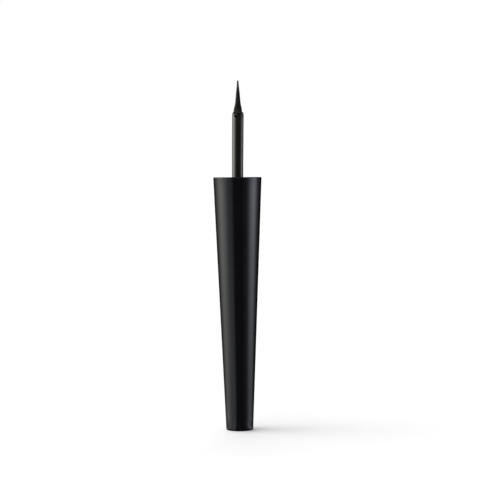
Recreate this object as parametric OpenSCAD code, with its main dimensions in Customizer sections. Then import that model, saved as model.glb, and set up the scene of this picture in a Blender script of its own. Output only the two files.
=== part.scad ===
// Dip-in applicator of a liquid eyeliner. A long tapered cap is the handle. It stands on its narrow
// closed end, and the stem with its pointed brush rises out of the wide mouth.
// Millimetres, +Z up, with the foot on z = 0 and the cap's axis on the Z axis.

/* [Cap] */
// Height of the cap from its foot to its rim
cap_h = 74.1; // [70:0.1:84]
// Outside diameter at the rim
rim_d = 14.15; // [13.8:0.05:15]
// Outside diameter that the taper reaches at the foot, before the edge is rounded
foot_d = 7.9; // [7.4:0.1:9]
// Thickness of the cap's wall
cap_wall = 1.05; // [0.9:0.05:1.1]
// Thickness of the cap's closed end
end_wall = 1.6; // [1.4:0.1:3]
// Rounding of the foot's outer edge
foot_round = 0.45; // [0.3:0.05:1.1]
// Rounding of the rim's two edges
rim_round = 0.18; // [0.1:0.02:0.3]
// Diameter of the gate recess in the middle of the foot
gate_d = 2.2; // [1.4:0.1:2.6]
// Depth of the gate recess
gate_depth = 0.25; // [0.1:0.05:0.5]

/* [Inner cap] */
// Depth of the inner cap's top below the rim
inner_drop = 1.2; // [0.8:0.1:2]
// Height of the inner cap's outer wall
inner_h = 18.8; // [17.8:0.1:20]
// Diameter of the thread well, at the root of the neck thread
well_d = 9.2; // [8.6:0.1:9.4]
// Depth of the thread well
well_depth = 11.8; // [11:0.1:12.5]
// Thickness of the web between the thread well and the socket
web_t = 1.5; // [1.2:0.1:2]
// Outside diameter of the socket that holds the stem
socket_d = 5.8; // [5.4:0.1:6]
// Length of the socket below the web
socket_len = 9.5; // [8.5:0.5:11]
// Number of slits that let the socket spring open
socket_slits = 4; // [2:1:6]
// Number of drive ribs between the cap and the inner cap
drive_ribs = 12; // [6:1:16]

/* [Stem] */
// Diameter of the stem
stem_d = 3.35; // [3.2:0.05:3.5]
// Length of stem that stands out of the mouth
stem_out = 19; // [15:0.1:26]
// Diameter of the collar that clamps the seal
collar_d = 4.8; // [4.4:0.1:5.4]
// Thickness of the collar
collar_t = 0.6; // [0.4:0.1:1]
// Diameter over the barb that snaps into the socket
barb_d = 4; // [3.8:0.05:4.1]
// Depth of the brush hole in the stem's end
brush_hole_depth = 5; // [4:0.5:8]
// Number of staking dents that grip the brush
dents = 4; // [2:1:6]
// Depth of one staking dent
dent_depth = 0.24; // [0.1:0.02:0.28]

/* [Seal] */
// Thickness of the seal washer
seal_t = 0.8; // [0.6:0.1:1]
// Gap between the seal washer and the wall of the thread well
seal_gap = 0.1; // [0.05:0.05:0.3]

/* [Brush] */
// Length of brush that stands out of the stem
brush_out = 9.5; // [7:0.1:12]
// Diameter of the bundle where it leaves the stem
brush_d = 2.5; // [2.3:0.05:2.55]
// Rings of bristles round the middle of the bundle
brush_rings = 8; // [7:1:8]
// Share of the length by which the outer bristles are shorter
brush_taper = 0.55; // [0.4:0.05:0.6]

/* [Hidden] */
$fn = 96;
gloss_black = [0.05, 0.05, 0.055];
satin_black = [0.1, 0.1, 0.11];
seal_white = [0.8, 0.8, 0.78];
bristle_black = [0.09, 0.08, 0.075];

// Gap between pieces that are pushed together, and how far a rib is rooted in its wall
fit_gap = 0.03;
root_bite = 0.3;
edge_steps = 6;

// Heights, counted from the foot
inner_top = cap_h - inner_drop;
inner_bottom = inner_top - inner_h;
web_top = inner_top - well_depth;
web_bottom = web_top - web_t;
socket_bottom = web_bottom - socket_len;
collar_bottom = web_top + seal_t;
collar_top = collar_bottom + collar_t;
stem_end = cap_h + stem_out;
brush_hole_bottom = stem_end - brush_hole_depth;
bundle_top = stem_end - 0.1;

// Drive ribs and the snap bead between the cap and the inner cap
rib_w = 0.9;
rib_h = 0.3;
drive_top = inner_top - 4.8;
snap_z = inner_top - 3.4;
snap_half = 0.45;
snap_h = 0.2;

// Stop ribs deep in the cap, whose ends carry the inner cap
stop_ribs = 8;
stop_len = 16;
stop_w = 0.8;
stop_h = 0.75;

// Walls and ribs of the inner cap
skirt_wall = 0.9;
web_ribs = 6;
web_rib_w = 0.7;
slit_w = 0.5;
slit_top = socket_bottom + 0.55 * socket_len;
lead_in = 0.35;

// Stem, whose rounded end leaves a narrow land round the brush hole
stem_r = stem_d / 2;
brush_r = brush_d / 2;
socket_bore_r = stem_r + fit_gap;
brush_hole_r = brush_r + fit_gap;
barb_top = socket_bottom + 2.4;
barb_rise = 0.9;
barb_lip = 0.25;
end_land = 0.05;
end_round_w = min(0.33, stem_r - brush_hole_r - end_land);
end_round_h = 0.8;
dent_z = stem_end - 1.1;
dent_w = 0.36;
dent_punch_r = 0.45;
dent_turn = -26;

// Brush. Each height is a share of the length that stands out of the stem
gather_heights = [0, 0.36, 0.62, 1];
gather_widths = [1, 0.56, 0.5, 0.44];
bristle_widths = [1, 0.8, 0.6];
tip_spread = 0.05;
tip_curve = 1.8;
tip_seed = 7;

// Radius of the cap's outside, of its bore and of the inner cap at height z
function cap_r(z) = (foot_d + (rim_d - foot_d) * z / cap_h) / 2;
function bore_r(z) = cap_r(z) - cap_wall;
function liner_r(z) = bore_r(z) - fit_gap;

// Points of a rounded edge about [x, z], from angle a to angle b, rx wide and rz high
function edge(x, z, rx, rz, a, b) =
    [for (i = [0:edge_steps]) let(t = a + (b - a) * i / edge_steps) [x + rx * cos(t), z + rz * sin(t)]];

// Ribs along the cap's bore, from its wall inwards, all h high at any height
module bore_ribs(count, w, h, z0, z1) {
    intersection() {
        rotate_extrude() polygon([
            [bore_r(z0) - h, z0],
            [bore_r(z0) + root_bite, z0],
            [bore_r(z1) + root_bite, z1],
            [bore_r(z1) - h, z1]
        ]);
        for (i = [0:count - 1])
            rotate(360 * i / count)
                translate([0, -w / 2, z0])
                    cube([rim_d / 2, w, z1 - z0]);
    }
}

// Ring of trapezoid section round the inner cap's tapered wall: the snap bead or, with a clearance, its groove
module snap_ring(clearance) {
    low = snap_z - snap_half - clearance;
    high = snap_z + snap_half + clearance;
    reach = liner_r(snap_z) + snap_h + clearance;
    rotate_extrude() polygon([
        [liner_r(low) - root_bite, low],
        [liner_r(low), low],
        [reach, snap_z - snap_half / 3],
        [reach, snap_z + snap_half / 3],
        [liner_r(high), high],
        [liner_r(high) - root_bite, high]
    ]);
}

// Outer cap: a moulded cone with one closed end, an even wall, and ribs inside
module cap_shell() {
    foot_centre = cap_r(foot_round) - foot_round;
    core_round = 0.8;
    core_bottom = end_wall + core_round;
    outline = concat(
        [[0, 0]],
        edge(foot_centre, foot_round, foot_round, foot_round, -90, 0),
        edge(cap_r(cap_h) - rim_round, cap_h - rim_round, rim_round, rim_round, 0, 90),
        edge(bore_r(cap_h) + rim_round, cap_h - rim_round, rim_round, rim_round, 90, 180),
        edge(bore_r(core_bottom) - core_round, core_bottom, core_round, core_round, 0, -90),
        [[0, end_wall]]
    );
    color(gloss_black)
        difference() {
            union() {
                rotate_extrude() polygon(outline);
                bore_ribs(drive_ribs, rib_w, rib_h, inner_bottom, drive_top);
                bore_ribs(stop_ribs, stop_w, stop_h, inner_bottom - stop_len, inner_bottom);
            }
            snap_ring(fit_gap);
            translate([0, 0, -1]) cylinder(h = 1 + gate_depth, d = gate_d);
        }
}

// Inner cap: the thread well above a web, the sprung socket for the stem below it, and a skirt on the stop ribs
module inner_cap() {
    well_r = well_d / 2;
    socket_r = socket_d / 2;
    skirt_r = liner_r(inner_bottom) - skirt_wall;
    groove_top = barb_top + fit_gap;
    groove_bottom = barb_top - barb_rise - barb_lip - fit_gap;
    groove_r = barb_d / 2 + fit_gap;
    outline = [
        [socket_bore_r, web_top],
        [socket_bore_r, groove_top],
        [groove_r, groove_top],
        [groove_r, groove_bottom],
        [socket_bore_r, groove_bottom - (groove_r - socket_bore_r)],
        [socket_bore_r, socket_bottom + lead_in],
        [socket_bore_r + lead_in, socket_bottom],
        [socket_r - lead_in, socket_bottom],
        [socket_r, socket_bottom + lead_in],
        [socket_r, web_bottom],
        [skirt_r, web_bottom],
        [skirt_r, inner_bottom],
        [liner_r(inner_bottom) - lead_in, inner_bottom],
        [liner_r(inner_bottom + lead_in), inner_bottom + lead_in],
        [liner_r(inner_top - lead_in), inner_top - lead_in],
        [liner_r(inner_top) - lead_in, inner_top],
        [well_r + lead_in, inner_top],
        [well_r, inner_top - lead_in],
        [well_r, web_top]
    ];
    color(satin_black)
        difference() {
            union() {
                rotate_extrude() polygon(outline);
                snap_ring(0);
                for (i = [0:web_ribs - 1])
                    rotate(360 * i / web_ribs)
                        translate([socket_r - root_bite, -web_rib_w / 2, inner_bottom + 1])
                            cube([skirt_r - socket_r + 2 * root_bite, web_rib_w, web_bottom - inner_bottom - 1 + root_bite]);
            }
            bore_ribs(drive_ribs, rib_w + 2 * fit_gap, rib_h + fit_gap, inner_bottom - 1, drive_top + fit_gap);
            for (i = [0:socket_slits - 1])
                rotate(360 * (i + 0.5) / socket_slits)
                    translate([0, -slit_w / 2, socket_bottom - 1])
                        cube([socket_r + 1, slit_w, slit_top - socket_bottom + 1]);
        }
}

// Soft washer at the bottom of the thread well, held down by the stem's collar
module neck_seal() {
    edge_cut = 0.1;
    inner_r = stem_r + fit_gap;
    outer_r = well_d / 2 - seal_gap;
    color(seal_white)
        rotate_extrude() polygon([
            [inner_r, web_top],
            [outer_r - edge_cut, web_top],
            [outer_r, web_top + edge_cut],
            [outer_r, collar_bottom - edge_cut],
            [outer_r - edge_cut, collar_bottom],
            [inner_r, collar_bottom]
        ]);
}

// Stem: barbed root, collar, plain shank and a rounded end with the brush hole and its staking dents
module stem() {
    barb_r = barb_d / 2;
    collar_r = collar_d / 2;
    root_r = stem_r - 0.3;
    root_bottom = barb_top - barb_rise - barb_lip - 0.7;
    collar_edge = 0.15;
    outline = concat(
        [
            [0, root_bottom],
            [root_r, root_bottom],
            [stem_r, barb_top - barb_rise - barb_lip],
            [barb_r, barb_top - barb_lip],
            [barb_r, barb_top],
            [stem_r, barb_top],
            [stem_r, collar_bottom],
            [collar_r, collar_bottom],
            [collar_r, collar_top - collar_edge],
            [collar_r - collar_edge, collar_top],
            [stem_r, collar_top]
        ],
        edge(stem_r - end_round_w, stem_end - end_round_h, end_round_w, end_round_h, 0, 90),
        [[0, stem_end]]
    );
    color(satin_black)
        difference() {
            rotate_extrude() polygon(outline);
            translate([0, 0, brush_hole_bottom])
                cylinder(h = brush_hole_depth + 1, r = brush_hole_r);
            for (i = [0:dents - 1])
                rotate(dent_turn - 90 + 360 * i / dents)
                    translate([stem_r + dent_punch_r - dent_depth, 0, dent_z])
                        rotate([90, 0, 0])
                            cylinder(h = dent_w, r = dent_punch_r, center = true, $fn = 32);
        }
}

// The bundle's cross-section is a disc of triangles: ring k of the lattice has 6 * k points, and each triangle
// between two rings carries one bristle of three sides
function ring_first(k) = k == 0 ? 0 : 1 + 3 * k * (k - 1);
function lattice(k, i) = k == 0 ? 0 : ring_first(k) + i % (6 * k);
lattice_points = [
    for (k = [0:brush_rings])
        for (i = [0:max(1, 6 * k) - 1])
            let(a = k == 0 ? 0 : 60 * i / k)
                brush_r * k / brush_rings * [cos(a), sin(a)]
];
tiles = [
    for (k = [1:brush_rings])
        for (m = [0:5])
            each concat(
                [for (j = [0:k - 1])
                    [lattice(k, m * k + j), lattice(k, m * k + j + 1), lattice(k - 1, m * (k - 1) + j)]],
                [for (j = [0:1:k - 2])
                    [lattice(k, m * k + j + 1), lattice(k - 1, m * (k - 1) + j + 1), lattice(k - 1, m * (k - 1) + j)]]
            )
];
function centre(tile) = (lattice_points[tile[0]] + lattice_points[tile[1]] + lattice_points[tile[2]]) / 3;

// How far the bundle is drawn in at a share t of its length, straight between the heights it is gathered at
function gather(t) = lookup(t, [for (i = [0:3]) [gather_heights[i], gather_widths[i]]]);

// Share of the length at which each bristle ends: the outer ones are shorter, and all are a little uneven
shortfall = rands(0, tip_spread, len(tiles), tip_seed);
tips = [
    for (n = [0:len(tiles) - 1])
        1 - brush_taper * pow(norm(centre(tiles[n])) / brush_r, tip_curve) - shortfall[n]
];

// Brush: bristles of three sides that rise from a fused root, drawn together into one point
module brush_tuft() {
    rim_points = 6 * brush_rings;
    root_depth = bundle_top - brush_hole_bottom;
    reach = stem_end + brush_out - bundle_top;
    lattice_count = len(lattice_points);
    first_bristle = lattice_count + rim_points;
    // Heights at which each bristle has a ring of three points above its tile
    rings = [for (t = tips) [for (i = [1:2]) if (gather_heights[i] < t - 0.02) i]];
    starts = [for (n = 0, s = first_bristle; n < len(tiles); s = s + 3 * len(rings[n]) + 1, n = n + 1) s];
    points = concat(
        [for (p = lattice_points) [p[0], p[1], 0]],
        [for (i = [0:rim_points - 1]) let(p = lattice_points[ring_first(brush_rings) + i]) [p[0], p[1], -root_depth]],
        [for (n = [0:len(tiles) - 1])
            let(c = centre(tiles[n]))
                each concat(
                    [for (i = rings[n])
                        for (corner = tiles[n])
                            let(p = gather_widths[i] * (c + bristle_widths[i] * (lattice_points[corner] - c)))
                                [p[0], p[1], reach * gather_heights[i]]],
                    [let(p = gather(tips[n]) * c) [p[0], p[1], reach * tips[n]]]
                )]
    );
    side_faces = [
        for (n = [0:len(tiles) - 1])
            let(levels = len(rings[n]), tip = starts[n] + 3 * levels)
                for (level = [0:levels])
                    for (side = [0:2])
                        let(
                            next = (side + 1) % 3,
                            a = level == 0 ? tiles[n][side] : starts[n] + 3 * (level - 1) + side,
                            b = level == 0 ? tiles[n][next] : starts[n] + 3 * (level - 1) + next,
                            up = starts[n] + 3 * level
                        )
                            each level == levels ? [[a, tip, b]] : [[a, up + side, up + next], [a, up + next, b]]
    ];
    root_faces = [
        for (i = [0:rim_points - 1])
            let(
                next = (i + 1) % rim_points,
                top = ring_first(brush_rings)
            )
                each [
                    [lattice_count + i, top + i, top + next],
                    [lattice_count + i, top + next, lattice_count + next]
                ]
    ];
    root_end = [[for (i = [0:rim_points - 1]) lattice_count + i]];
    color(bristle_black)
        translate([0, 0, bundle_top])
            polyhedron(points, concat(side_faces, root_faces, root_end));
}

cap_shell();
inner_cap();
neck_seal();
stem();
brush_tuft();
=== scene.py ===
import math
import random

import bmesh
import bpy
from mathutils import Matrix, Vector


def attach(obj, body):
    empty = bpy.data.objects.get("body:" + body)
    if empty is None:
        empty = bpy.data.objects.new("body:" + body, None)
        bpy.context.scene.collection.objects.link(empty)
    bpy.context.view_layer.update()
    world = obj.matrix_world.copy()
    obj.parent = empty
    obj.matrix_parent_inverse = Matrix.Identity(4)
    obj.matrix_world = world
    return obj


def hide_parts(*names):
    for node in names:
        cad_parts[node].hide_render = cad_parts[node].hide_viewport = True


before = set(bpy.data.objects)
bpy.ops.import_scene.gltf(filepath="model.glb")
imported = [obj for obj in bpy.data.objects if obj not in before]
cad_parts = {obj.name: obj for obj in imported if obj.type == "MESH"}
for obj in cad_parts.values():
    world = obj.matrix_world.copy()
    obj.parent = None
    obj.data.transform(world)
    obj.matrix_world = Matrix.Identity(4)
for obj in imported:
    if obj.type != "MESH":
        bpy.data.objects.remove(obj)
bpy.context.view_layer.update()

# Outer cap, which is also the handle. One injection moulding in black ABS, with a mirror gloss from its
# polished mould. It tapers to a flat closed foot, where the gate left a small nub in a recess, and its
# drive ribs and stop ribs hold the inner cap.
mm = 0.001
cap_height = 74.1 * mm
rim_radius = 7.075 * mm
foot_radius = 3.95 * mm
cap_wall = 1.05 * mm
end_wall = 1.6 * mm
foot_round = 0.45 * mm
rim_round = 0.18 * mm
core_round = 0.8 * mm
edge_margin = 0.1 * mm
gate_radius = 1.1 * mm
gate_depth = 0.25 * mm
gate_round = 0.06 * mm
nub_radius = 0.35 * mm
nub_top_radius = 0.245 * mm
nub_shoulder = 0.056 * mm
nub_height = 0.14 * mm
inner_bottom = 54.1 * mm
drive_top = 68.1 * mm
stop_bottom = 38.1 * mm
rib_bite = 0.15 * mm
rib_round = 0.08 * mm
weld_gap = 0.0005 * mm
cap_sides = 256
wall_steps = 24
cap_taper = math.atan((rim_radius - foot_radius) / cap_height)


def cap_radius(height):
    """Outside radius of the taper at a height above the foot."""
    return foot_radius + (rim_radius - foot_radius) * height / cap_height


def arc(centre, reach, first, last, steps=10):
    """Outline points of a rounded edge, from one angle in degrees to another."""
    angles = [math.radians(first + (last - first) * i / steps) for i in range(steps + 1)]
    return [(centre[0] + reach[0] * math.cos(a), centre[1] + reach[1] * math.sin(a)) for a in angles]


def straight(start, end, steps):
    """Outline points of a straight run, parted into short ones."""
    shares = [i / steps for i in range(steps + 1)]
    return [tuple(a + (b - a) * share for a, b in zip(start, end)) for share in shares]


def turned(outline, steps, closed=False):
    """A round shape: an outline of (radius, height) points, spun once about the cap's axis."""
    bm = bmesh.new()
    points = [bm.verts.new((radius, 0, height)) for radius, height in outline]
    pairs = list(zip(points, points[1:] + points[:1]))
    runs = [bm.edges.new(pair) for pair in (pairs if closed else pairs[:-1])]
    bmesh.ops.spin(
        bm, geom=points + runs, cent=(0, 0, 0), axis=(0, 0, 1), angle=math.tau, steps=steps, use_merge=True
    )
    bmesh.ops.remove_doubles(bm, verts=bm.verts, dist=weld_gap)
    bmesh.ops.recalc_face_normals(bm, faces=bm.faces)
    return bm


def add_shape(bm, other):
    """Puts a second shape into the first one's mesh."""
    carrier = bpy.data.meshes.new("carrier")
    other.to_mesh(carrier)
    other.free()
    bm.from_mesh(carrier)
    bpy.data.meshes.remove(carrier)


def made_object(name, bm, finish):
    """An object at the origin with the finished mesh and its one material."""
    mesh = bpy.data.meshes.new(name)
    bm.to_mesh(mesh)
    bm.free()
    mesh.materials.append(finish.owner)
    made = bpy.data.objects.new(name, mesh)
    bpy.context.scene.collection.objects.link(made)
    return made


def piece(name, bm, finish, node=None, sharp=35):
    """Finishes a piece of the applicator, smooth but for its edges over so many degrees."""
    for face in bm.faces:
        face.smooth = True
    for edge in bm.edges:
        edge.smooth = len(edge.link_faces) == 2 and edge.calc_face_angle(0) < math.radians(sharp)
    made = made_object(name, bm, finish)
    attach(made, "root")
    if node:
        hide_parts(node)


class Signal:
    """A value inside a finish. Arithmetic on it adds the Math nodes that work it out."""

    def __init__(self, finish, socket):
        self.finish = finish
        self.socket = socket

    def __add__(self, other):
        return self.finish.math("ADD", self, other)

    def __radd__(self, other):
        return self.finish.math("ADD", other, self)

    def __sub__(self, other):
        return self.finish.math("SUBTRACT", self, other)

    def __rsub__(self, other):
        return self.finish.math("SUBTRACT", other, self)

    def __mul__(self, other):
        return self.finish.math("MULTIPLY", self, other)

    def __rmul__(self, other):
        return self.finish.math("MULTIPLY", other, self)

    def __pow__(self, other):
        return self.finish.math("POWER", self, other)


class Finish:
    """The node tree of a material or of the world, built one node at a time."""

    def __init__(self, owner):
        self.owner = owner
        owner.use_nodes = True
        self.nodes = owner.node_tree.nodes
        self.links = owner.node_tree.links
        self.nodes.clear()

    def node(self, kind, settings=(), sockets=(), result=0):
        """Adds a node: its settings first, then the values or signals of its sockets."""
        made = self.nodes.new(kind)
        for name, value in dict(settings).items():
            if name == "stops":
                self.set_stops(made.color_ramp, value)
            else:
                setattr(made, name, value)
        for name, value in dict(sockets).items():
            if isinstance(value, Signal):
                self.links.new(value.socket, made.inputs[name])
            else:
                made.inputs[name].default_value = value
        return Signal(self, made.outputs[result] if made.outputs else None)

    def set_stops(self, ramp, stops):
        """Gives a ramp its soft run of (place, colour) stops."""
        ramp.interpolation = "EASE"
        for _ in stops[2:]:
            ramp.elements.new(0.5)
        for element, (place, colour) in zip(ramp.elements, stops):
            element.position = place
            element.color = (*colour, 1)

    def math(self, operation, first, second=0.0):
        return self.node("ShaderNodeMath", {"operation": operation}, {0: first, 1: second})

    def place(self, stretch=(1, 1, 1)):
        """The point on the piece, in metres, stretched along the axes."""
        here = self.node("ShaderNodeTexCoord", result="Object")
        return self.node("ShaderNodeMapping", {"vector_type": "POINT"}, {"Vector": here, "Scale": stretch})

    def along(self, axis):
        """How far the point lies along one axis, in metres."""
        return self.node("ShaderNodeSeparateXYZ", {}, {0: self.place()}, result=axis)

    def grain(self, per_metre, stretch=(1, 1, 1), detail=2.0, roughness=0.5):
        """Soft noise from 0 to 1, with so many waves to the metre."""
        sockets = {"Vector": self.place(stretch), "Scale": per_metre}
        return self.node("ShaderNodeTexNoise", {}, {**sockets, "Detail": detail, "Roughness": roughness})

    def fade(self, value, low, high, from_value=0.0, to_value=1.0):
        """Turns a value that goes from low to high into one that goes softly between two others."""
        sockets = {"Value": value, 1: low, 2: high, 3: from_value, 4: to_value}
        return self.node("ShaderNodeMapRange", {"interpolation_type": "SMOOTHSTEP", "clamp": True}, sockets)

    def blend(self, share, first, second):
        """Mixes two colours by a share from 0 to 1."""
        sockets = {0: share, 6: first, 7: second}
        return self.node("ShaderNodeMix", {"data_type": "RGBA"}, sockets, result=2)

    def bump(self, height, depth, under=None):
        """Raises the surface by a height from 0 to 1 of so many metres."""
        sockets = {"Height": height, "Distance": depth, "Strength": 1.0}
        if under:
            sockets["Normal"] = under
        return self.node("ShaderNodeBump", {}, sockets)

    def plastic(self, **sockets):
        """A Principled shader, with its sockets named with underscores."""
        named = {name.replace("_", " "): value for name, value in sockets.items()}
        return self.node("ShaderNodeBsdfPrincipled", {}, named)

    def end(self, shader, output="ShaderNodeOutputMaterial"):
        self.node(output, {}, {"Surface": shader})


gloss_black = Finish(bpy.data.materials.new("gloss_black"))
clean_gloss = (0.0036, 0.0036, 0.0046, 1)
handled_gloss = (0.0045, 0.0045, 0.0054, 1)
flow_depth = 0.004 * mm
peel_depth = 0.0003 * mm
flow = gloss_black.grain(90, stretch=(1, 1, 0.25), detail=1.0)
orange_peel = gloss_black.grain(900, stretch=(1, 1, 0.6))
patches = gloss_black.grain(110, stretch=(1, 1, 0.7), detail=4.0, roughness=0.6)
smudge = gloss_black.fade(patches, 0.52, 0.72)
hairline = gloss_black.fade(gloss_black.grain(5200, stretch=(1, 1, 0.02)), 0.66, 0.72)
gloss = gloss_black.plastic(
    Base_Color=gloss_black.blend(smudge, clean_gloss, handled_gloss),
    Roughness=0.06 + 0.02 * smudge + 0.04 * hairline,
    IOR=1.5,
    Normal=gloss_black.bump(orange_peel, peel_depth, gloss_black.bump(flow, flow_depth)),
)
gloss_black.end(gloss)

foot_centre = cap_radius(foot_round) - foot_round
rim_centre = cap_height - rim_round
rim_bore = cap_radius(cap_height) - cap_wall
core_bottom = end_wall + core_round
core_centre = cap_radius(core_bottom) - cap_wall - core_round
nub_top = gate_depth - nub_height
wall_low = foot_round + edge_margin
wall_high = rim_centre - edge_margin
outline = [(0, nub_top), (nub_top_radius, nub_top), (nub_radius, nub_top + nub_shoulder)]
outline += [(nub_radius, gate_depth), (gate_radius, gate_depth)]
outline += arc((gate_radius + gate_round, gate_round), (gate_round, gate_round), 180, 270, steps=4)
outline += arc((foot_centre, foot_round), (foot_round, foot_round), -90, 0)
outline += straight((cap_radius(wall_low), wall_low), (cap_radius(wall_high), wall_high), wall_steps)
outline += arc((rim_radius - rim_round, rim_centre), (rim_round, rim_round), 0, 90, steps=8)
outline += arc((rim_bore + rim_round, rim_centre), (rim_round, rim_round), 90, 180, steps=8)
outline += arc((core_centre, core_bottom), (core_round, core_round), 0, -90)
outline += [(0, end_wall)]
cap = turned(outline, cap_sides)

# Ribs inside the cap, as (count, width, height, low end, high end)
ribs = bmesh.new()
for count, width, height, low, high in (
    (12, 0.9 * mm, 0.3 * mm, inner_bottom, drive_top),
    (8, 0.8 * mm, 0.75 * mm, stop_bottom, inner_bottom),
):
    middle = (low + high) / 2
    reach = cap_radius(middle) - cap_wall + (rib_bite - height) / 2
    size = Matrix.Diagonal((height + rib_bite, width, high - low, 1))
    for i in range(count):
        turn = Matrix.Rotation(math.tau * i / count, 4, "Z")
        stand = Matrix.Translation((reach, 0, middle)) @ Matrix.Rotation(cap_taper, 4, "Y")
        bmesh.ops.create_cube(ribs, size=1, matrix=turn @ stand @ size)
bmesh.ops.bevel(
    ribs, geom=ribs.edges, offset=rib_round, segments=2, profile=0.5, affect="EDGES", material=-1
)
add_shape(cap, ribs)
piece("outer_cap", cap, gloss_black, "cap_shell")

# Inner cap. A black polypropylene moulding that is pushed into the outer cap until its bead snaps home.
# It has the thread well for the bottle's neck above a web, and the sprung socket for the stem below.
satin_black = Finish(bpy.data.materials.new("satin_black"))
clean_satin = (0.011, 0.011, 0.0115, 1)
waxy_satin = (0.017, 0.017, 0.0175, 1)
spark_depth = 0.004 * mm
merge_gap = 0.001 * mm
spark = satin_black.grain(14000)
wax = satin_black.fade(satin_black.grain(420, detail=3.0), 0.4, 0.7)
satin = satin_black.plastic(
    Base_Color=satin_black.blend(wax, clean_satin, waxy_satin),
    Roughness=0.34 + 0.12 * wax,
    IOR=1.49,
    Normal=satin_black.bump(spark, spark_depth),
)
satin_black.end(satin)

inner_cap = bmesh.new()
inner_cap.from_mesh(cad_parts["inner_cap"].data)
bmesh.ops.remove_doubles(inner_cap, verts=inner_cap.verts, dist=merge_gap)
bmesh.ops.dissolve_degenerate(inner_cap, edges=inner_cap.edges, dist=merge_gap)
piece("inner_cap_moulding", inner_cap, satin_black, "inner_cap")

# Neck thread. A right-hand ridge of one and a half turns inside the thread well, moulded with the inner
# cap. Both of its ends fade into the wall, so that the neck finds its way in.
well_radius = 4.6 * mm
crest_height = 0.4 * mm
half_crest = 0.16 * mm
half_flank = 0.42 * mm
half_root = 0.5 * mm
flank_share = 0.6
thread_root = 0.06 * mm
thread_pitch = 2 * mm
thread_turns = 1.5
thread_low = 65.1 * mm
thread_fade = 0.12
least_share = 0.02
thread_steps = round(128 * thread_turns)
ridge = bmesh.new()
section = [(thread_root, -half_root), (-flank_share * crest_height, -half_flank)]
section += [(-crest_height, -half_crest)]
section += [(across, -rise) for across, rise in reversed(section)]
points = [ridge.verts.new((well_radius + across, 0, thread_low + rise)) for across, rise in section]
runs = [ridge.edges.new(pair) for pair in zip(points, points[1:] + points[:1])]
bmesh.ops.spin(
    ridge,
    geom=points + runs,
    cent=(0, 0, 0),
    axis=(0, 0, 1),
    dvec=(0, 0, thread_pitch * thread_turns / thread_steps),
    angle=math.tau * thread_turns,
    steps=thread_steps,
)
for vert in ridge.verts:
    angle = math.atan2(vert.co.y, vert.co.x) / math.tau
    turns = angle + round((vert.co.z - thread_low) / thread_pitch - angle)
    share = max(least_share, min(1, turns / thread_fade, (thread_turns - turns) / thread_fade)) ** 0.5
    radius = math.hypot(vert.co.x, vert.co.y)
    wall = well_radius + thread_root
    pull = (wall + (radius - wall) * share) / radius
    middle = thread_low + turns * thread_pitch
    vert.co = Vector((vert.co.x * pull, vert.co.y * pull, middle + (vert.co.z - middle) * share))
bmesh.ops.holes_fill(ridge, edges=[edge for edge in ridge.edges if edge.is_boundary])
bmesh.ops.recalc_face_normals(ridge, faces=ridge.faces)
piece("neck_thread", ridge, satin_black, sharp=50)

# Neck seal. A soft washer cut from pale elastomer sheet, at the bottom of the thread well. The stem's
# collar holds it down, and a little of the liner has dried on it round the collar.
seal_bore = 1.705 * mm
seal_radius = 4.5 * mm
seal_low = 61.1 * mm
seal_high = 61.9 * mm
seal_edge = 0.1 * mm
seal_sides = 160
washer_grey = (0.52, 0.52, 0.49, 1)
washer_pale = (0.62, 0.62, 0.59, 1)
liner_stain = (0.03, 0.026, 0.024, 1)
sheet_depth = 0.006 * mm
pale_elastomer = Finish(bpy.data.materials.new("pale_elastomer"))
mottle = pale_elastomer.grain(900, detail=3.0)
fine = pale_elastomer.grain(9000)
stain = pale_elastomer.fade(pale_elastomer.grain(520, detail=4.0, roughness=0.6), 0.5, 0.6)
clean = pale_elastomer.blend(mottle, washer_grey, washer_pale)
washer = pale_elastomer.plastic(
    Base_Color=pale_elastomer.blend(0.8 * stain, clean, liner_stain),
    Roughness=0.62 - 0.2 * stain,
    IOR=1.45,
    Normal=pale_elastomer.bump(fine, sheet_depth),
)
pale_elastomer.end(washer)
outline = [(seal_bore, seal_low)]
outline += arc((seal_radius - seal_edge, seal_low + seal_edge), (seal_edge, seal_edge), -90, 0, steps=4)
outline += arc((seal_radius - seal_edge, seal_high - seal_edge), (seal_edge, seal_edge), 0, 90, steps=4)
outline += [(seal_bore, seal_high)]
washer_shape = turned(outline, seal_sides, closed=True)
piece("seal_washer", washer_shape, pale_elastomer, "neck_seal")

# Stem. A black polypropylene rod with a barbed root that snaps into the socket, a collar that clamps the
# seal, and a rounded end that four dents stake onto the brush. It bows a little to the right, and a thin
# coat of liner has dried on its upper part. Each dent is painted near black, as painted shade in its hollow.
stem_radius = 1.675 * mm
coat = 0.017 * mm
coat_low = 78 * mm
coat_high = 84 * mm
stem_end = 93.1 * mm
socket_bottom = 50.1 * mm
barb_radius = 2 * mm
barb_top = socket_bottom + 2.4 * mm
barb_rise = 0.9 * mm
barb_lip = 0.25 * mm
root_length = 0.7 * mm
root_taper = 0.3 * mm
collar_radius = 2.4 * mm
collar_low = 61.9 * mm
collar_high = 62.5 * mm
collar_round = 0.15 * mm
fillet = 0.12 * mm
hole_radius = 1.28 * mm
hole_bottom = 88.1 * mm
hole_round = 0.03 * mm
end_round_w = 0.375 * mm
end_round_h = 1.05 * mm
stem_sides = 256
dent_height = stem_end - 1.1 * mm
dent_reach = 1.2 * mm
dent_depth = 0.24 * mm
dent_half_width = 0.26 * mm
dent_half_height = 0.38 * mm
hole_wall = 0.1 * mm
dent_turns = [math.radians(-26 + 90 * i) for i in range(4)]
stem_bow = 0.35 * mm
bow_power = 1.6
brush_lean = 0.004


def bowed(bm):
    """Bends what stands above the collar to the right, in a growing curve to the stem's end."""
    for vert in bm.verts:
        climb = max(0, vert.co.z - collar_high) / (stem_end - collar_high)
        vert.co.x += stem_bow * min(1, climb) ** bow_power + brush_lean * max(0, vert.co.z - stem_end)


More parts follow.
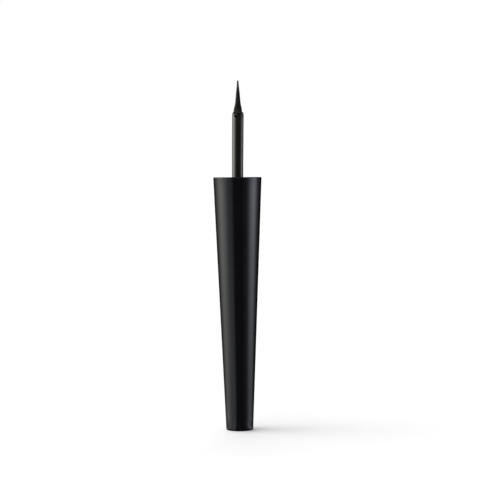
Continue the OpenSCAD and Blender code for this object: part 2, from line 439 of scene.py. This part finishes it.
bare_rod = (0.0077, 0.0077, 0.0068, 1)
filmed_rod = (0.0100, 0.0092, 0.0078, 1)
# Near-black colour of the painted shade in the dents
dent_shade_black = (0.0012, 0.0011, 0.0010, 1)
film_low = 84 * mm
film_high = 92 * mm
film_depth = 0.006 * mm
drawn_depth = 0.0015 * mm
shade_edge_grain_size = 0.16 * mm
dent_shade_reach = 0.44 * mm
dent_shade_edge = 0.56 * mm
dent_shade_height = dent_height - 0.06 * mm
stem_plastic = Finish(bpy.data.materials.new("stem_plastic"))
height = stem_plastic.along("Z")
drawn = stem_plastic.grain(2600, stretch=(1, 1, 0.04))
streaks = stem_plastic.grain(700, stretch=(1, 1, 0.5), detail=4.0, roughness=0.6)
dried = stem_plastic.fade(streaks, 0.5, 0.66)
film = dried * stem_plastic.fade(height, film_low, film_high)
shade_edge_grain = stem_plastic.grain(3500)
# Painted shade: a near-black matt patch over each dent, with a ragged edge
dent_shade = 0.0
for turn in dent_turns:
    middle = (stem_radius * math.sin(turn) + stem_bow, -stem_radius * math.cos(turn), dent_shade_height)
    sockets = {0: stem_plastic.place(), 1: middle}
    away = stem_plastic.node("ShaderNodeVectorMath", {"operation": "DISTANCE"}, sockets, result="Value")
    dent_shade = dent_shade + stem_plastic.fade(away + shade_edge_grain_size * shade_edge_grain, dent_shade_reach, dent_shade_edge, 1.0, 0.0)
rod = stem_plastic.plastic(
    Base_Color=stem_plastic.blend(film, bare_rod, filmed_rod),
    Roughness=0.12 + 0.04 * drawn + 0.1 * film,
    IOR=1.49,
    Normal=stem_plastic.bump(film, film_depth, stem_plastic.bump(drawn, drawn_depth)),
)
# The matt shader of the painted shade in the dents
dent_shade_shader = stem_plastic.plastic(Base_Color=dent_shade_black, Roughness=0.9, IOR=1.12)
stem_plastic.end(stem_plastic.node("ShaderNodeMixShader", {}, {0: dent_shade, 1: rod, 2: dent_shade_shader}))

barb_foot = barb_top - barb_lip - barb_rise
coated_radius = stem_radius + coat
dents_start = (coated_radius, dent_height - dent_reach)
round_start = (coated_radius, stem_end - end_round_h)
outline = [(0, barb_foot - root_length), (stem_radius - root_taper, barb_foot - root_length)]
outline += [(stem_radius, barb_foot), (barb_radius, barb_top - barb_lip), (barb_radius, barb_top)]
outline += [(stem_radius, barb_top), (stem_radius, collar_low), (collar_radius, collar_low)]
collar_corner = (collar_radius - collar_round, collar_high - collar_round)
outline += arc(collar_corner, (collar_round, collar_round), 0, 90, steps=5)
outline += arc((stem_radius + fillet, collar_high + fillet), (fillet, fillet), 270, 180, steps=4)
outline += straight((stem_radius, collar_high + 2 * fillet), (stem_radius, coat_low), steps=12)
outline += straight((coated_radius, coat_high), dents_start, steps=8)
outline += straight(dents_start, round_start, steps=30)[1:-1]
outline += arc((coated_radius - end_round_w, round_start[1]), (end_round_w, end_round_h), 0, 90, steps=16)
hole_corner = (hole_radius + hole_round, stem_end - hole_round)
outline += arc(hole_corner, (hole_round, hole_round), 90, 180, steps=3)
outline += [(hole_radius, hole_bottom), (0, hole_bottom)]
stem = turned(outline, stem_sides)
for vert in stem.verts:
    if math.hypot(vert.co.x, vert.co.y) < hole_radius + hole_wall or vert.co.z < dents_start[1]:
        continue
    bearing = math.atan2(vert.co.x, -vert.co.y)
    for turn in dent_turns:
        aside = math.remainder(bearing - turn, math.tau) * stem_radius / dent_half_width
        climb = (vert.co.z - dent_height) / dent_half_height
        sink = dent_depth * math.exp(-(aside**4) - climb**4)
        vert.co -= Vector((math.sin(turn), -math.cos(turn), 0)) * sink
bowed(stem)
piece("stem_rod", stem, stem_plastic, "stem", sharp=50)

# Brush. A bundle of tapered black nylon filaments, fused together at the root and staked into the stem's
# end, where they sit a little to the left. The outer ones are shorter, and all are drawn in together to a
# slight waist and one blunt point.
random.seed(11)
bundle_radius = 1.25 * mm
fused_low = hole_bottom
bundle_low = fused_low + 0.05 * mm
brush_top = 102.44 * mm
filament_count = 540
filament_radius = 0.05 * mm
filament_steps = 10
least_length = 0.3
length_spread = 0.02
sway_spread = 0.05
least_width = 0.45
tip_slimming = 0.7
tip_sharpness = 6
golden_turn = math.pi * (3 - 5**0.5)
tip_fall = 0.55
tip_power = 1.8
last_share = 0.995
waist_depth = 0.2
waist_share = 0.33
waist_spread = 0.235
seat_swell = 0.065
seat_middle = 0.065
seat_spread = 0.09
seat_offset = 0.05 * mm
seat_share = 0.12
point_width = 0.206
belly_power = 1.39
point_power = 1.56
fused_length = 2.4 * mm
fused_round = 0.15 * mm
fused_sides = 64


def outline_share(t):
    """Half the brush's width at a share of its length, as a share of its width at the stem."""
    waist = 1 - waist_depth * math.exp(-(((t - waist_share) / waist_spread) ** 2))
    seat = seat_swell * math.exp(-(((t - seat_middle) / seat_spread) ** 2))
    return point_width * t + seat + waist * (1 - t**belly_power) ** point_power


def gathered(t):
    """How far a filament is drawn in towards the axis at a share of the brush's length."""
    reached = min(1.0, ((1 - t) / tip_fall) ** (1 / tip_power))
    return outline_share(t) / reached


nylon_dark = (0.0014, 0.0013, 0.0012, 1)
nylon_pale = (0.0050, 0.0047, 0.0043, 1)
fibre_depth = 0.001 * mm
nylon = Finish(bpy.data.materials.new("nylon"))
fibre = nylon.grain(5200, stretch=(1, 1, 0.15))
filament = nylon.plastic(
    Base_Color=nylon.blend(fibre, nylon_dark, nylon_pale),
    Roughness=0.36 + 0.14 * fibre,
    IOR=1.42,
    Normal=nylon.bump(fibre, fibre_depth),
)
nylon.end(filament)

hairs = bpy.data.curves.new("filaments", "CURVE")
hairs.dimensions = "3D"
hairs.bevel_depth = 1.0
hairs.bevel_resolution = 0
hairs.use_fill_caps = True
for n in range(filament_count):
    spread = math.sqrt((n + 0.5) / filament_count)
    start_radius = spread * (bundle_radius - filament_radius)
    angle = n * golden_turn
    end = max(least_length, 1 - tip_fall * spread**tip_power - random.uniform(0, length_spread))
    sway = random.uniform(-sway_spread, sway_spread)
    strand = hairs.splines.new("POLY")
    strand.points.add(filament_steps + 1)
    strand.points[0].co = (start_radius * math.cos(angle), start_radius * math.sin(angle), bundle_low, 1)
    strand.points[0].radius = filament_radius
    for i in range(filament_steps + 1):
        t = end * i / filament_steps
        drawn_in = gathered(min(t, last_share))
        turn = angle + sway * t
        reach = start_radius * drawn_in
        rise = stem_end + t * (brush_top - stem_end)
        slim = 1 - tip_slimming * (i / filament_steps) ** tip_sharpness
        aside = -seat_offset * math.exp(-((t / seat_share) ** 2))
        strand.points[i + 1].co = (reach * math.cos(turn) + aside, reach * math.sin(turn), rise, 1)
        strand.points[i + 1].radius = filament_radius * max(drawn_in, least_width) * slim
strands = bpy.data.objects.new("filaments", hairs)
bpy.context.scene.collection.objects.link(strands)
bundle_mesh = bpy.data.meshes.new_from_object(strands.evaluated_get(bpy.context.evaluated_depsgraph_get()))
bpy.data.objects.remove(strands)
bundle = bmesh.new()
bundle.from_mesh(bundle_mesh)
bpy.data.meshes.remove(bundle_mesh)
bmesh.ops.recalc_face_normals(bundle, faces=bundle.faces)
fused_top = bundle_low + fused_length
outline = [(0, fused_low)]
fused_reach = (fused_round, fused_round)
outline += arc((bundle_radius - fused_round, fused_low + fused_round), fused_reach, -90, 0, steps=3)
outline += arc((bundle_radius - fused_round, fused_top - fused_round), fused_reach, 0, 90, steps=3)
outline += [(0, fused_top)]
add_shape(bundle, turned(outline, fused_sides))
bowed(bundle)
piece("filament_tuft", bundle, nylon, "brush_tuft", sharp=60)

# Studio table: a plain matt white board that goes on as the background. What the camera sees of it, also
# in a mirror, is lifted a little towards white.
table_lift = 0.09
table_half = 30
board_white = (0.92, 0.92, 0.92, 1)


def seen_rays(finish):
    """1 for what the camera sees, directly, mirrored or through something clear."""
    names = ("Is Camera Ray", "Is Glossy Ray", "Is Transmission Ray")
    camera, glossy, clear = (finish.node("ShaderNodeLightPath", result=name) for name in names)
    return camera + glossy + clear


table_white = Finish(bpy.data.materials.new("table_white"))
matt = table_white.node("ShaderNodeBsdfDiffuse", {}, {"Color": board_white})
seen_only = table_white.blend(seen_rays(table_white), (0, 0, 0, 1), (1, 1, 1, 1))
glow = table_white.node("ShaderNodeEmission", {}, {"Color": seen_only, "Strength": table_lift})
table_white.end(table_white.node("ShaderNodeAddShader", {}, {0: matt, 1: glow}))
table = bmesh.new()
bmesh.ops.create_grid(table, x_segments=1, y_segments=1, size=table_half)
made_object("table", table, table_white)

# Reflection tent, which only mirror-like surfaces see: white boards at the left and the right of the
# table, and dark cloth in front, behind and overhead. A board is brighter above the table's edge, where
# the light falls on it, and dims and drifts a little on the table towards the foot of the object. The dimming
# near the foot is painted shadow: the object's own shadow on the table, as a mirror shows it.
tent_radius = 1.2
tent_height = 2.0
tent_hole = 3.6 * mm
tent_gap = 0.02 * mm
tent_sides = 128
foot_shadow_zone = (8 * mm, 24 * mm)
mouth_zone = (60 * mm, 80 * mm)
high_zone = (82 * mm, 110 * mm)
overhead_zone = (350 * mm, 600 * mm)
shade_zone = (4.2 * mm, 6.5 * mm)
near_limit = 60 * mm
overhead_tone = 0.05
peak = 6.0
table_tints = ((-180, (1.0, 1.0, 0.96)), (-66, (0.965, 1.02, 1.045)), (0, (0.965, 1.01, 1.125)))
wall_tints = ((-180, (1.0, 1.0, 0.93)), (0, (0.99, 0.99, 1.02)))
tent_light = Finish(bpy.data.materials.new("tent_light"))
across, inward, up = (tent_light.along(axis) for axis in "XYZ")
bearing = tent_light.math("ARCTAN2", across, 0 - inward) * math.degrees(1)
distance = (across * across + inward * inward) ** 0.5


def boards(tints, *tones):
    """A soft run of (bearing in degrees, brightness) tones, in tints that each hold from a bearing on."""
    stops = []
    for degrees, tone in tones:
        tint = [tint for start, tint in tints if degrees >= start][-1]
        stops.append((0.5 + degrees / 360, tuple(part * tone / peak for part in tint)))
    return tent_light.node("ShaderNodeValToRGB", {"stops": stops}, {0: 0.5 + bearing * (1 / 360)})


# Painted shadow: the tone near the foot, darker where the object's shadow lies on the table
foot_shadow_tone = boards(
    table_tints,
    (-137, 0.01), (-125, 0.03), (-115, 0.1), (-102, 0.45), (-89, 1.2), (-77, 1.9), (-65, 1.7),
    (-57, 0.83), (-48, 0.57), (-34, 0.58), (-25, 0.24), (-18, 0.03),
    (20, 0.03), (39, 0.13), (51, 0.6), (57, 1.45), (68, 2.6), (81, 2.6), (93, 0.9), (102, 0.25),
    (112, 0.05), (121, 0.01), (145, 0),
)
low_tone = boards(
    table_tints,
    (-160, 0), (-137, 0.12), (-125, 0.43), (-115, 0.88), (-102, 1.7), (-89, 2.25), (-77, 2.0),
    (-65, 1.46), (-57, 0.93), (-48, 0.55), (-34, 0.42), (-25, 0.2), (-18, 0.03),
    (20, 0.03), (39, 0.115), (51, 0.34), (57, 0.74), (68, 1.65), (81, 2.32), (93, 2.03), (102, 1.08),
    (112, 0.44), (121, 0.13), (145, 0),
)
mouth_tone = boards(
    wall_tints,
    (-178, 0.86), (-150, 0.67), (-134, 1.05), (-115, 3.05), (-96, 5.35), (-80, 5.15), (-69, 4.1),
    (-58, 2.3), (-47, 0.86), (-35, 0.33), (-22, 0.1),
    (40, 0.03), (57, 0.05), (70, 0.29), (84, 2.95), (97, 2.4), (112, 0.95), (130, 0.48), (150, 1.05),
    (178, 1.05),
)
high_tone = boards(
    wall_tints,
    (-170, 0.03), (-150, 0.19), (-134, 1.05), (-115, 3.05), (-96, 4.6), (-80, 4.1), (-69, 3.25),
    (-58, 1.8), (-47, 0.67), (-35, 0.29), (-22, 0.1),
    (40, 0.03), (57, 0.06), (70, 0.33), (82, 1.72), (94, 1.33), (112, 1.0), (130, 0.38), (170, 0.03),
)
tone = tent_light.blend(tent_light.fade(distance, *foot_shadow_zone), foot_shadow_tone, low_tone)
tone = tent_light.blend(tent_light.fade(up, *mouth_zone), tone, mouth_tone)
tone = tent_light.blend(tent_light.fade(up, *high_zone), tone, high_tone)

# Powers of the distance, by which a board changes along the table, for each side's bearings
left_fall = tent_light.fade(bearing, -112, -85, 0.115, 0.225) - tent_light.fade(bearing, -68, -42, 0.0, 0.335)
right_fall = tent_light.fade(bearing, -5, 35, 0.0, 0.2) + tent_light.fade(bearing, 38, 54, 0.0, 0.27)
right_fall = right_fall - tent_light.fade(bearing, 85, 115, 0.0, 0.28)
falloff = tent_light.math("MAXIMUM", distance, near_limit) ** (left_fall + right_fall)
# Painted contact shadow round the foot, as the mirror shows it
foot_shade = tent_light.fade(distance, *shade_zone)
overhead = tent_light.fade(up, *overhead_zone, 1.0, overhead_tone)
shade = {0: tone, "Scale": falloff * foot_shade * overhead}
shade = tent_light.node("ShaderNodeVectorMath", {"operation": "SCALE"}, shade)
tent_light.end(tent_light.node("ShaderNodeEmission", {}, {"Color": shade, "Strength": peak}))
tent_light.owner.cycles.emission_sampling = "NONE"
tent = turned([(tent_hole, tent_gap), (tent_radius, tent_gap), (tent_radius, tent_height)], tent_sides)
tent = made_object("reflection_tent", tent, tent_light)
tent.visible_camera = False
tent.visible_diffuse = False
tent.visible_shadow = False
tent.visible_transmission = False

# Room: even white light from all round, and three large soft windows, given as (name, bearing, elevation,
# width in degrees, strength). The bearing is counted from the camera, and the right is positive.
room_fill = 0.305
room = Finish(bpy.data.worlds.new("room"))
sky = room.blend(seen_rays(room), (room_fill, room_fill, room_fill, 1), (1, 1, 1, 1))
room.end(room.node("ShaderNodeBackground", {}, {"Color": sky, "Strength": 1.0}), "ShaderNodeOutputWorld")
bpy.context.scene.world = room.owner
for name, degrees, elevation, width, power in (
    ("window_left", -59.8, 50.0, 67.1, 1.11),
    ("window_high", -108.0, 60.0, 42.0, 1.05),
    ("window_back", -174.7, 54.7, 31.8, 0.636),
):
    window = bpy.data.lights.new(name, "SUN")
    window.angle = math.radians(width)
    window.energy = power
    lamp = bpy.data.objects.new(name, window)
    bpy.context.scene.collection.objects.link(lamp)
    turn = math.radians(degrees)
    rise = math.radians(elevation)
    towards = Vector((math.sin(turn) * math.cos(rise), -math.cos(turn) * math.cos(rise), math.sin(rise)))
    lamp.matrix_world = towards.to_track_quat("Z", "Y").to_matrix().to_4x4()
    lamp.visible_glossy = False

# Camera: half a metre in front of the object, level with the mouth of the cap and dipped a little, with
# the slight roll that the photo has. Its turns are in degrees.
camera_place = (0.59 * mm, -470.3 * mm, 73.2 * mm)
camera_dip = 2.1286
camera_roll = -0.55
camera_lens = 120.57
sensor_width = 36
view = bpy.data.cameras.new("view")
view.sensor_width = sensor_width
view.lens = camera_lens
eye = bpy.data.objects.new("view", view)
bpy.context.scene.collection.objects.link(eye)
eye.matrix_world = (
    Matrix.Translation(camera_place)
    @ Matrix.Rotation(math.radians(90 - camera_dip), 4, "X")
    @ Matrix.Rotation(math.radians(camera_roll), 4, "Z")
)
bpy.context.scene.camera = eye
bpy.context.scene.view_settings.view_transform = "Standard"
